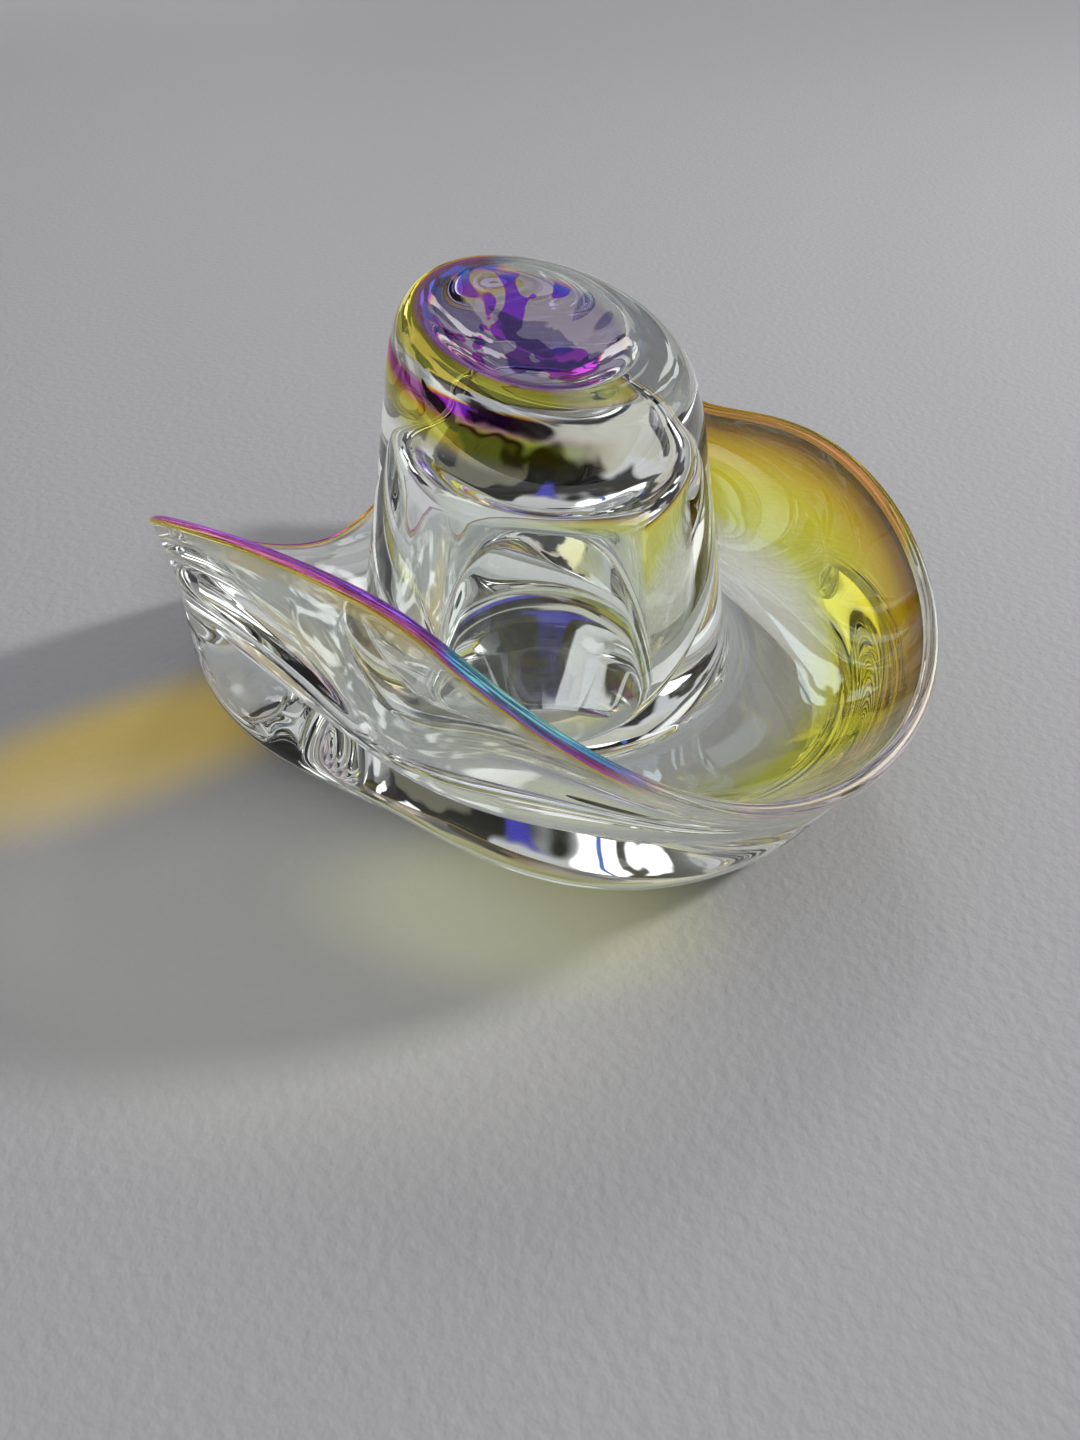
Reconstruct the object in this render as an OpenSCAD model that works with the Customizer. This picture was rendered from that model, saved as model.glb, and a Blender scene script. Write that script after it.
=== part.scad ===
// Glass cowboy hat paperweight: a thick rolled brim, a hollow crown and colour film on the upper faces.
// The front of the hat points along -Y, +Z is up, and the flat ground base stands on z = 0.
// Every ring is worked out from sizes at named angles, measured round the crown's axis from the front.

/* [Rim reach] */
// Reach of the rim from the crown's axis, straight ahead
reach_front = 58.5; // [50:0.5:70]
// Reach of the rim 30 degrees round from the front
reach_30 = 55; // [48:0.5:64]
// Reach of the rim 60 degrees round from the front
reach_60 = 42.5; // [39:0.5:52]
// Reach of the rim at the rolled sides
reach_side = 35.5; // [34.5:0.5:46]
// Reach of the rim 120 degrees round from the front
reach_120 = 47.5; // [42:0.5:56]
// Reach of the rim 150 degrees round from the front
reach_150 = 58.5; // [50:0.5:66]
// Reach of the rim straight behind
reach_back = 53.5; // [46:0.5:62]

/* [Rim height] */
// Height of the rim straight ahead
rise_front = 21; // [14:0.5:28]
// Height of the rim 30 degrees round from the front
rise_30 = 27.5; // [20:0.5:34]
// Height of the rim 60 degrees round from the front
rise_60 = 38; // [28:0.5:42]
// Height of the rim at the rolled sides
rise_side = 37; // [28:0.5:44]
// Height of the rim 120 degrees round from the front
rise_120 = 38; // [28:0.5:42]
// Height of the rim 150 degrees round from the front
rise_150 = 20.5; // [16:0.5:28]
// Height of the rim straight behind
rise_back = 4.5; // [4:0.5:16]

/* [Base] */
// Half length of the flat base in front of the crown's axis
base_front = 47; // [40:0.5:48]
// Reach of the flat base 45 degrees round from the front
base_45 = 41.5; // [36:0.5:44]
// Half width of the flat base
base_side = 36.5; // [33:0.5:40]
// Reach of the flat base 135 degrees round from the front
base_135 = 47.5; // [38:0.5:49]
// Half length of the flat base behind the crown's axis
base_back = 44; // [38:0.5:46]
// Angle at which the outside of the glass leaves the base
foot_angle = 38; // [25:1:60]

/* [Brim glass] */
// Thickness of the rounded rim edge
edge_t = 2.4; // [1.6:0.1:3.2]
// Height of the deck that the crown stands on
deck_z = 10; // [8:0.5:12]
// Slope of the glass sheet where the rim is lowest
lean_low = 8; // [2:1:20]
// Slope of the glass sheet where the rim is highest
lean_high = 84; // [70:1:88]

/* [Crown] */
// Radius of the flare where the crown meets the deck
foot_r = 31.5; // [30.5:0.5:32.5]
// Height of the flare above the deck
flare_h = 4; // [2:0.5:7]
// Radius of the crown's wall just above the flare
wall_r = 27.9; // [25:0.1:29.5]
// Radius of the crown where the shoulder begins
shoulder_r = 21.9; // [19:0.1:24]
// Height at which the shoulder begins
shoulder_z = 46; // [44:0.5:50]
// Radius of the lip round the dish
lip_r = 14.6; // [12:0.1:17]
// Height of the middle of the lip
lip_z = 59.2; // [56:0.1:66]
// Forward tilt of the lip and the dish
dish_tilt = 14; // [0:1:18]
// Set-back of the lip behind the crown's axis
lip_back = 2.3; // [0:0.1:4]
// Depth of the dish under the lip
dish_depth = 6; // [3:0.5:8]

/* [Hollow] */
// Radius of the closed hollow at the middle of its floor
hollow_r = 17; // [14:0.5:18.5]
// Radius of the hollow at its roof
roof_r = 13; // [10:0.5:15]
// Height of the middle of the hollow's floor
floor_z = 14; // [13.5:0.5:18]
// Height of the middle of the hollow's roof
roof_z = 41.5; // [36:0.5:44]
// Slope of the hollow's floor
floor_tilt = 30; // [0:1:32]
// Direction in which the floor rises, measured round from the back
floor_turn = 46.5; // [-60:0.5:60]
// Forward tilt of the roof
roof_tilt = 8; // [0:1:12]

/* [Film] */
// Thickness given to the colour film
film_t = 0.2; // [0.1:0.05:0.4]

/* [Hidden] */

// Colours of the clear glass and of the film's gold and violet
glass_colour = [0.86, 0.9, 0.88, 0.55];
brim_film_colour = [0.8, 0.74, 0.2, 0.7];
crown_film_colour = [0.55, 0.42, 0.75, 0.7];

// Points round a ring, and steps along each curve of the outline
ring_points = 64;
wall_steps = 10;
edge_steps = 4;
trough_steps = 10;
flare_steps = 4;
shoulder_steps = 8;
dish_steps = 7;

// How far each curve keeps its end direction, as a share of its span
foot_pull = 0.42;
rim_pull = 0.5;
deck_pull = 0.35;
trough_pull = 0.4;
shoulder_pull = 0.6;
lip_pull = 0.3;
// How early the sheet steepens as the rim rises
lean_bend = 0.8;
// Size of the blocks that end the hollow at its floor and roof, in radii of the hollow
block_share = 4;
// How far the hollow's cone is drawn on above its roof
cone_over = 4;

// Sum of a list of numbers or points
function sum(v) = v * [for (x = v) 1];
function reversed(v) = [for (i = [len(v) - 1:-1:0]) v[i]];
function unit(v) = v / norm(v);

// Even cosine curve through values at equal angles from the front to the back
function end_weight(j, n) = (j == 0 || j == n) ? 0.5 : 1;
function cosine_terms(v) =
    let (n = len(v) - 1)
    [for (k = [0:n])
        2 * end_weight(k, n) / n * sum([for (j = [0:n]) end_weight(j, n) * v[j] * cos(180 * k * j / n)])];
function cosine_curve(terms, a) = sum([for (k = [0:len(terms) - 1]) terms[k] * cos(k * a)]);

reaches = [reach_front, reach_30, reach_60, reach_side, reach_120, reach_150, reach_back];
rises = [rise_front, rise_30, rise_60, rise_side, rise_120, rise_150, rise_back];
bases = [base_front, base_45, base_side, base_135, base_back];
reach_terms = cosine_terms(reaches);
rise_terms = cosine_terms(rises);
base_terms = cosine_terms(bases);
ring_angles = [for (i = [0:ring_points - 1]) 360 * i / ring_points];

// Outline of the brim at one angle, as points of radius and height
function rim_point(a) = [cosine_curve(reach_terms, a), cosine_curve(rise_terms, a)];
function rise_share(z) = min(1, max(0, (z - min(rises)) / (max(rises) - min(rises))));
function lean(a) = lean_low + (lean_high - lean_low) * pow(rise_share(rim_point(a)[1]), lean_bend);
function along(a) = [cos(lean(a)), sin(lean(a))];
function across(a) = [-sin(lean(a)), cos(lean(a))];
function edge_point(a, turn) =
    rim_point(a) - along(a) * edge_t / 2 + (along(a) * cos(turn) + across(a) * sin(turn)) * edge_t / 2;
function bezier(p, t) =
    p[0] * pow(1 - t, 3) + 3 * p[1] * t * pow(1 - t, 2) + 3 * p[2] * (1 - t) * pow(t, 2) + p[3] * pow(t, 3);
function curve(p, steps) = [for (i = [0:steps]) bezier(p, i / steps)];

function outer_curve(a) =
    let (foot = [cosine_curve(base_terms, a), 0])
    let (rim = edge_point(a, -90))
    let (span = norm(rim - foot))
    let (foot_handle = foot + span * foot_pull * [cos(foot_angle), sin(foot_angle)])
    curve([foot, foot_handle, rim - span * rim_pull * along(a), rim], wall_steps);
function edge_curve(a) = [for (i = [1:edge_steps - 1]) edge_point(a, 180 * i / edge_steps - 90)];
function trough_curve(a) =
    let (rim = edge_point(a, 90))
    let (deck = [foot_r, deck_z])
    let (span = norm(rim - deck))
    let (deck_handle = deck + span * deck_pull * [1, 0])
    curve([rim, rim - span * trough_pull * along(a), deck_handle, deck], trough_steps);
function brim_outline(a) = concat(outer_curve(a), edge_curve(a), trough_curve(a));

// Outline of the crown, as points of radius, height and share of the dish's tilt
wall_foot = [wall_r, deck_z + flare_h];
wall_top = [shoulder_r, shoulder_z];
wall_slope = unit(wall_top - wall_foot);
lip = [lip_r, lip_z];
shoulder_span = norm(lip - wall_top);
function with_tilt(points, low, high) =
    [for (i = [0:len(points) - 1]) concat(points[i], low + (high - low) * i / (len(points) - 1))];
flare_curve = curve(
    [[foot_r, deck_z], [(foot_r + wall_r) / 2, deck_z], wall_foot - wall_slope * flare_h / 2, wall_foot],
    flare_steps);
shoulder_curve = curve(
    [wall_top, wall_top + wall_slope * shoulder_span * shoulder_pull, lip + [shoulder_span * lip_pull, 0], lip],
    shoulder_steps);
dish_curve = [for (i = [1:dish_steps - 1])
    let (share = 1 - i / dish_steps)
    [lip_r * share, lip_z - dish_depth * (1 - pow(share, 2))]];
shoulder_outline = with_tilt(shoulder_curve, 0, 1);
dish_outline = with_tilt(dish_curve, 1, 1);
crown_outline = concat(with_tilt(flare_curve, 0, 0), shoulder_outline, dish_outline);
film_outline = concat(shoulder_outline, dish_outline);
dish_middle = [0, lip_back, lip_z - dish_depth];

// Outline moved out by the film's thickness, square to its own direction
function outline_step(p, i) = p[min(i + 1, len(p) - 1)] - p[max(i - 1, 0)];
function lifted(p) =
    [for (i = [0:len(p) - 1])
        let (step = outline_step(p, i))
        let (lift = film_t * unit([step[1], -step[0]]))
        [for (k = [0:len(p[i]) - 1]) p[i][k] + (k < 2 ? lift[k] : 0)]];

// Points in space of an outline point at an angle
function on_brim(p, a) = [p[0] * sin(a), -p[0] * cos(a), p[1]];
function on_crown(p, a) =
    let (y = -p[0] * cos(a))
    [p[0] * sin(a), y + lip_back * pow(p[2], 2), p[1] + tan(dish_tilt) * p[2] * y];
function crown_rings(outline) = [for (p = outline) [for (a = ring_angles) on_crown(p, a)]];

brim_outlines = [for (a = ring_angles) brim_outline(a)];
brim_rows = len(brim_outlines[0]);
film_first = wall_steps + edge_steps / 2;
film_outlines = [for (o = brim_outlines) [for (i = [film_first:brim_rows - 1]) o[i]]];
film_tops = [for (o = film_outlines) lifted(o)];
function brim_rings(outlines) =
    [for (i = [0:len(outlines[0]) - 1]) [for (j = [0:ring_points - 1]) on_brim(outlines[j][i], ring_angles[j])]];

// The origin is under the middle of the hat's box
rim_ys = [for (a = ring_angles) -rim_point(a)[0] * cos(a)];
middle_y = (max(rim_ys) + min(rim_ys)) / 2;
module on_origin() {
    translate([0, -middle_y, 0]) children();
}

// Two triangles of the patch between ring i and ring k, split along one diagonal or the other
function patch(i, k, j, turned) =
    let (next = (j + 1) % ring_points)
    let (a = i * ring_points + j)
    let (b = k * ring_points + j)
    let (c = k * ring_points + next)
    let (d = i * ring_points + next)
    turned ? [[a, b, d], [b, c, d]] : [[a, b, c], [a, c, d]];
function band(i, k, turned) = [for (j = [0:ring_points - 1]) each patch(i, k, j, turned)];

// Solid through a list of rings, closed at a middle point below and above
module loft(rings, below, above, turned = 0) {
    rows = len(rings);
    low = rows * ring_points;
    top_ring = (rows - 1) * ring_points;
    sides = [for (i = [0:rows - 2]) each band(i, i + 1, i < turned)];
    floor_fan = [for (j = [0:ring_points - 1]) [low, j, (j + 1) % ring_points]];
    roof_fan = [for (j = [0:ring_points - 1]) [top_ring + j, low + 1, top_ring + (j + 1) % ring_points]];
    polyhedron(concat([for (ring = rings) each ring], [below, above]), concat(sides, floor_fan, roof_fan));
}

// Solid through a list of rings that comes back to its first ring
module closed_loft(rings, turned = 0) {
    rows = len(rings);
    sides = [for (i = [0:rows - 1]) each band(i, (i + 1) % rows, i < turned)];
    polyhedron([for (ring = rings) each ring], sides);
}

// Block that stands on a sloping plane, or hangs under it
module block(height, turn, tilt, hangs) {
    side = block_share * hollow_r;
    translate([0, 0, height])
        rotate([0, 0, -turn])
            rotate([tilt, 0, 0])
                translate([-side / 2, -side / 2, hangs ? -side : 0])
                    cube(side);
}

// Air space closed inside the crown, with its low side in the brim
module hollow() {
    hollow_lean = (hollow_r - roof_r) / (roof_z - floor_z);
    cone_r = hollow_r + hollow_lean * floor_z;
    top_r = roof_r - hollow_lean * cone_over;
    intersection() {
        cylinder(h = roof_z + cone_over, r1 = cone_r, r2 = top_r, $fn = ring_points);
        block(floor_z, floor_turn, floor_tilt, false);
        block(roof_z, 0, roof_tilt, true);
    }
}

// Thick glass brim with its rolled sides, flat base and the low side of the hollow
module brim() {
    color(glass_colour)
        on_origin()
            difference() {
                loft(brim_rings(brim_outlines), [0, 0, 0], [0, 0, deck_z]);
                hollow();
            }
}

// Thick-walled glass crown with its flare, shoulder, lip and dish
module crown() {
    color(glass_colour)
        on_origin()
            difference() {
                loft(crown_rings(crown_outline), [0, 0, deck_z], dish_middle);
                hollow();
            }
}

// Colour film on the upper face and the edge of the brim
module brim_film() {
    under = reversed(brim_rings(film_outlines));
    color(brim_film_colour)
        on_origin()
            closed_loft(concat(under, brim_rings(film_tops)), turned = len(under) - 1);
}

// Colour film on the shoulder, lip and dish of the crown
module crown_film() {
    under = reversed(crown_rings(film_outline));
    color(crown_film_colour)
        on_origin()
            loft(
                concat(under, crown_rings(lifted(film_outline))),
                dish_middle,
                dish_middle + [0, 0, film_t],
                turned = len(under) - 1);
}

brim();
crown();
brim_film();
crown_film();
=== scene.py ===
"""Looks of the glass cowboy hat, built in the part's own frame in metres."""

import logging
import math
from dataclasses import dataclass
from enum import Enum
from typing import Any

import bpy
import numpy as np
from bpy.types import Material, Node, NodeSocket, NodeTree, Object
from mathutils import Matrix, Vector


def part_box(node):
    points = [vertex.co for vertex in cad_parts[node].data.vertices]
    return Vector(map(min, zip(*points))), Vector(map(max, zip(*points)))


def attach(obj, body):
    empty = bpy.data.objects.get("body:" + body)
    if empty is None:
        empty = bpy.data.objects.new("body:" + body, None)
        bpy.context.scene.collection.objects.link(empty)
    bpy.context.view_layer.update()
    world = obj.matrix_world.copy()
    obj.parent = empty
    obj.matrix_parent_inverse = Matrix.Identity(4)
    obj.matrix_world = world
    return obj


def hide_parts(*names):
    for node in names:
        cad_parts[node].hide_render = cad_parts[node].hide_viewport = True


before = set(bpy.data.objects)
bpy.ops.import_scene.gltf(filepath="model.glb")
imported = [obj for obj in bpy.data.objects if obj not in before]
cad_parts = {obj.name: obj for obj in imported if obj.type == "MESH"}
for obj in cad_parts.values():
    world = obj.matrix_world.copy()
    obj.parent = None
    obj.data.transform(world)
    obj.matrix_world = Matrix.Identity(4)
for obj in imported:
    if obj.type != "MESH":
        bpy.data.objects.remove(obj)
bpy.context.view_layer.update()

LOG = logging.getLogger("glass_hat")
MM = 0.001

# Settings that several nodes share
EASED = {"interpolation_type": "SMOOTHSTEP"}
COLOURS = {"data_type": "RGBA"}
LENGTH = {"operation": "LENGTH"}
TIMES = {"operation": "MULTIPLY"}
TIMES_PLUS = {"operation": "MULTIPLY_ADD"}
PLUS = {"operation": "ADD"}
MINUS = {"operation": "SUBTRACT"}
LARGER = {"operation": "MAXIMUM"}

# Numbers of the sockets with which a mix node takes two colours and gives one
SHARE, FIRST, SECOND, MIXED = 0, 6, 7, 2

# Points and faces of one skin
Skin = tuple[np.ndarray, list[tuple[int, ...]]]

# Angles of the points round the crown's axis, from the front, and the level directions out to them
COLUMNS = 256
ANGLES = np.linspace(0, 2 * math.pi, COLUMNS, endpoint=False)
OUTWARD = np.stack([np.sin(ANGLES), -np.cos(ANGLES), np.zeros(COLUMNS)], axis=1)


def linear(code: str) -> tuple[float, float, float, float]:
    """Turn an sRGB hex colour into a linear one.

    Args:
        code: Colour as six hex digits after a hash sign.

    Returns:
        Linear red, green, blue and a full alpha.
    """
    channels = [int(code[i:i + 2], 16) / 255 for i in (1, 3, 5)]
    light = [c / 12.92 if c <= 0.04045 else ((c + 0.055) / 1.055) ** 2.4 for c in channels]
    return (light[0], light[1], light[2], 1.0)


def add_node(
    tree: NodeTree,
    kind: str,
    settings: dict[str, Any] | None = None,
    inputs: dict[Any, Any] | None = None,
) -> Node:
    """Add one node with its settings, fixed values and incoming links.

    Args:
        tree: Node tree that takes the node.
        kind: Blender's name for the node, without the word that all of them start with.
        settings: Properties of the node itself.
        inputs: For each input socket its fixed value, or the output socket that feeds it.

    Returns:
        The new node.
    """
    node = tree.nodes.new("ShaderNode" + kind)
    for name, value in (settings or {}).items():
        setattr(node, name, value)
    for socket, value in (inputs or {}).items():
        if isinstance(value, NodeSocket):
            tree.links.new(value, node.inputs[socket])
        else:
            node.inputs[socket].default_value = value
    return node


def new_material(name: str) -> tuple[Material, NodeTree]:
    """Make an empty node material.

    Args:
        name: The real material's name.

    Returns:
        The material and its cleared node tree.
    """
    material = bpy.data.materials.new(name)
    material.use_nodes = True
    material.node_tree.nodes.clear()
    return material, material.node_tree


def bezier(corners: list[np.ndarray], shares: np.ndarray) -> np.ndarray:
    """Rows of points along cubic curves, one curve for each angle round the hat.

    Args:
        corners: The four control points, each an array of angles by two.
        shares: Places along the curves from 0 to 1.

    Returns:
        Points as an array of shares by angles by two.
    """
    t = shares[:, None, None]
    start, first, second, end = corners
    return start * (1 - t) ** 3 + 3 * first * t * (1 - t) ** 2 + 3 * second * (1 - t) * t ** 2 + end * t ** 3


def unit(vectors: np.ndarray) -> np.ndarray:
    """Vectors of the same directions with a length of one."""
    return vectors / np.linalg.norm(vectors, axis=-1, keepdims=True)


def smooth(shares: np.ndarray) -> np.ndarray:
    """Shares eased in and out between 0 and 1."""
    held = np.clip(shares, 0, 1)
    return held * held * (3 - 2 * held)


def steps(count: int) -> np.ndarray:
    """Equal shares of a stretch, from the first step after its start to its end."""
    return np.linspace(0, 1, count + 1)[1:]


@dataclass(frozen=True)
class CosineCurve:
    """Even curve round the hat through values at equal angles from the front to the back."""

    stations: tuple[float, ...]

    def values(self) -> np.ndarray:
        """Values of the curve round the hat.

        Returns:
            One value for each angle.
        """
        last = len(self.stations) - 1
        order = np.arange(last + 1)
        ends = np.where((order == 0) | (order == last), 0.5, 1.0)
        waves = np.cos(np.pi * np.outer(order, order) / last)
        terms = 2 / last * ends * (waves @ (ends * np.array(self.stations)))
        return terms @ np.cos(np.outer(order, ANGLES))


@dataclass(frozen=True)
class Crystal:
    """Pressed and fire-polished lead crystal: clear, smooth and strongly bending light."""

    name: str = "lead_crystal"
    colour: str = "#F6FAF7"
    ior: float = 1.54

    def material(self) -> Material:
        """Make the material of the clear glass.

        Returns:
            The material.
        """
        # Polished crystal gives the eye bent outlines, dark mirrored folds and sharp glints, with no tint
        material, tree = new_material(self.name)
        glass = add_node(tree, "BsdfPrincipled", inputs={
            "Base Color": linear(self.colour), "Roughness": 0.0, "IOR": self.ior, "Transmission Weight": 1.0
        })
        add_node(tree, "OutputMaterial", inputs={"Surface": glass.outputs["BSDF"]})
        return material


class FilmValue(Enum):
    """Values that each point of a film holds, by the names of their attributes."""

    THICKNESS = "film_nm"
    PLACE = "film_place"
    COVER = "film_cover"
    BLOT = "film_blot"
    DEPTH = "film_depth"


@dataclass(frozen=True)
class ColourFilm:
    """Vapour-deposited dichroic film: it reflects one colour and passes the opposite one, with blots of
    painted reflection in its tint.
    """

    name: str
    index: float
    bands: tuple[tuple[float, float, str], ...]
    blot: str = "#FFFFFF"
    blot_mm: float = 6.0
    blot_edge: tuple[float, float] = (0.51, 0.535)
    blot_detail: float = 1.5
    blot_twist: float = 0.6
    # Share of the film's mirroring that is left between its blots of painted reflection
    between_blots: float = 0.35
    bare: str = "#FDFDFB"
    bare_index: float = 1.01
    backing_index: float = 1.001

    def shares(self, places: np.ndarray) -> np.ndarray:
        """Places on a piece as shares of the way from the film's first band to its last."""
        return (places - self.bands[0][0]) / (self.bands[-1][0] - self.bands[0][0])

    def thickness(self, places: np.ndarray) -> np.ndarray:
        """Thickness of the film in nanometres at places on a piece."""
        return np.interp(places, [band[0] for band in self.bands], [band[1] for band in self.bands])

    def material(self) -> Material:
        """Make the film's material, which takes its bands and its thickness from the piece's own points.

        Returns:
            The material.
        """
        # Thin oxide layers give the eye one colour in reflections and the opposite one in what shows through
        material, tree = new_material(self.name)
        held = {
            value: add_node(tree, "Attribute", {"attribute_name": value.value}).outputs["Fac"]
            for value in FilmValue
        }
        tint = add_node(tree, "ValToRGB", inputs={"Fac": held[FilmValue.PLACE]})
        ramp = tint.color_ramp
        ramp.elements.remove(ramp.elements[-1])
        for number, (place, _, code) in enumerate(self.bands):
            share = float(self.shares(np.array(place)))
            stop = ramp.elements[0] if number == 0 else ramp.elements.new(share)
            stop.position = share
            stop.color = linear(code)
        # Blots of painted reflection: ragged patches of a deep tint where the dish would mirror dark things
        drift = add_node(tree, "TexNoise", inputs={
            "Vector": add_node(tree, "TexCoord").outputs["Object"],
            "Scale": 1 / (self.blot_mm * MM),
            "Detail": self.blot_detail,
            "Distortion": self.blot_twist,
        })
        low, high = self.blot_edge
        edge = add_node(tree, "MapRange", EASED, {
            "Value": drift.outputs["Fac"], "From Min": low, "From Max": high
        })
        blot = add_node(tree, "Math", TIMES, {0: held[FilmValue.BLOT], 1: edge.outputs["Result"]})
        spotted = add_node(tree, "Mix", COLOURS, {
            SHARE: blot.outputs["Value"], FIRST: tint.outputs["Color"], SECOND: linear(self.blot)
        })
        covered = add_node(tree, "Mix", COLOURS, {
            SHARE: held[FilmValue.COVER], FIRST: linear(self.bare), SECOND: spotted.outputs[MIXED]
        })
        # Between its blots, which are painted reflections, the film mirrors less
        between_blots = add_node(tree, "Math", MINUS, {0: held[FilmValue.BLOT], 1: blot.outputs["Value"]})
        whole = add_node(tree, "MapRange", inputs={
            "Value": between_blots.outputs["Value"], "To Min": 1.0, "To Max": self.between_blots
        })
        laid = add_node(tree, "Math", TIMES, {0: held[FilmValue.DEPTH], 1: whole.outputs["Result"]})
        strength = add_node(tree, "MapRange", inputs={
            "Value": laid.outputs["Value"], "To Min": self.bare_index, "To Max": self.index
        })
        film = add_node(tree, "BsdfPrincipled", inputs={
            "Base Color": covered.outputs[MIXED],
            "Roughness": 0.0,
            "IOR": self.backing_index,
            "Transmission Weight": 1.0,
            "Thin Film Thickness": held[FilmValue.THICKNESS],
            "Thin Film IOR": strength.outputs["Result"],
        })
        add_node(tree, "OutputMaterial", inputs={"Surface": film.outputs["BSDF"]})
        return material


# Bands by share of the way from the crown to the rim: clear, lime, yellow, amber and brown
GOLD_FILM = ColourFilm(
    "gold_dichroic_film",
    1.45,
    (
        (0.0, 50, "#F8F6FA"),
        (0.3, 50, "#F2F2CC"),
        (0.48, 60, "#E4E830"),
        (0.7, 70, "#EED808"),
        (0.84, 75, "#CC8E00"),
        (0.93, 80, "#703600"),
        (1.0, 90, "#200A00"),
    ),
)
# Bands by thickness: clear, silver, gold, orange, magenta, violet, blue and cyan
RIM_FILM = ColourFilm(
    "rim_dichroic_film",
    2.4,
    (
        (35, 50, "#FAFAF6"),
        (60, 60, "#F2EEC8"),
        (92, 92, "#E8C820"),
        (106, 106, "#E87820"),
        (116, 116, "#C83080"),
        (127, 127, "#8024B8"),
        (140, 140, "#5038D0"),
        (154, 154, "#2C70E0"),
        (172, 172, "#20C8E8"),
        (190, 190, "#60E0C0"),
    ),
)
# Bands by millimetres along the surface from the lip: down the outside, and below zero into the dish
VIOLET_FILM = ColourFilm(
    "violet_dichroic_film",
    2.4,
    (
        (-16, 118, "#A690D4"),
        (-4, 118, "#9C84CE"),
        (-1.6, 130, "#4048B0"),
        (-0.4, 124, "#8A40B0"),
        (0.3, 106, "#EC6A18"),
        (0.8, 92, "#F0C010"),
        (3.6, 88, "#EED020"),
        (3.85, 60, "#1A1418"),
        (4.1, 50, "#FCF8E8"),
        (4.9, 50, "#FCF6E4"),
        (5.15, 60, "#241820"),
        (5.5, 118, "#A03A98"),
        (6.8, 114, "#7A2A78"),
        (7.8, 102, "#E06A20"),
        (8.8, 90, "#E8CC18"),
        (12.0, 84, "#DCD41C"),
        (15.0, 60, "#F4F2C0"),
    ),
    # Deep violet blots in the dish are painted reflections of dark things above it
    blot="#3A1E94",
)


@dataclass(frozen=True)
class PaintedLightPool:
    """Painted pool of the coloured light that the coated glass throws on the table: a painted tint of the
    table's colour and a painted glow, as a soft oval in the part's frame.
    """

    middle_mm: tuple[float, float]
    halves_mm: tuple[float, float]
    heading: float
    # Painted tint of the table inside the pool, and the painted glow added to it
    shade: str
    glow: str
    full: float = 0.3

    def share(self, tree: NodeTree, place: NodeSocket) -> NodeSocket:
        """Share of the painted light that is 1 in the middle of the pool and 0 beyond its edge.

        Args:
            tree: Node tree of the paint.
            place: Output socket with places on the table.

        Returns:
            Output socket with the share.
        """
        x, y = (side * MM for side in self.middle_mm)
        width, depth = (half * MM for half in self.halves_mm)
        oval = add_node(tree, "Mapping", {"vector_type": "TEXTURE"}, {
            "Vector": place,
            "Location": (x, y, 0),
            "Rotation": (0, 0, self.heading),
            "Scale": (width, depth, 1),
        })
        away = add_node(tree, "VectorMath", LENGTH, {0: oval.outputs["Vector"]})
        share = add_node(tree, "MapRange", EASED, {
            "Value": away.outputs["Value"], "From Min": 1.0, "From Max": self.full
        })
        return share.outputs["Result"]


# Painted light and shade on the table: an amber pool in the crown's shadow, and a lime and a clear pool that
# lighten the shadow in front of the hat
AMBER_PAINTED_POOL = PaintedLightPool((-56, 38), (46, 18), math.radians(163), "#B6A984", "#786410")
LIME_PAINTED_POOL = PaintedLightPool((-37, -26), (18, 36), math.radians(35), "#B6B6A4", "#5C5E34")
CLEAR_PAINTED_POOL = PaintedLightPool((-60, -8), (68, 38), math.radians(122), "#B6B6B3", "#5A5A56")


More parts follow.
